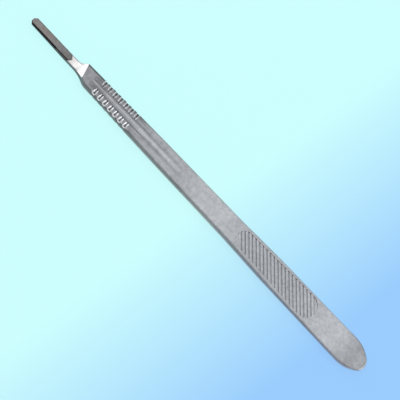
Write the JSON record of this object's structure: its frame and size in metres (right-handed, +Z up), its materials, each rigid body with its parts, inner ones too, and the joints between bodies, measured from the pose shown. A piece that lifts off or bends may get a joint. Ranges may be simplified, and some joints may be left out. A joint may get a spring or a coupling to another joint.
{
  "type": "scalpel handle",
  "caption": "Long flat steel scalpel handle with a grooved blade fitting at the nose, finger scoops, flutes, a ribbed thumb panel and a pointed butt.",
  "frame": {"origin": "middle of the handle's length and width, on the plane it lies on", "axes": "+X from the blade end to the butt, +Z up through the thickness, the face with the blade boss up; the hollow side of the shoulder is on -Y"},
  "size_m": [0.21, 0.0142, 0.004],
  "materials": {
    "steel": "satin"
  },
  "bodies": {
    "root": {"handle": "steel"}
  },
  "joints": []
}
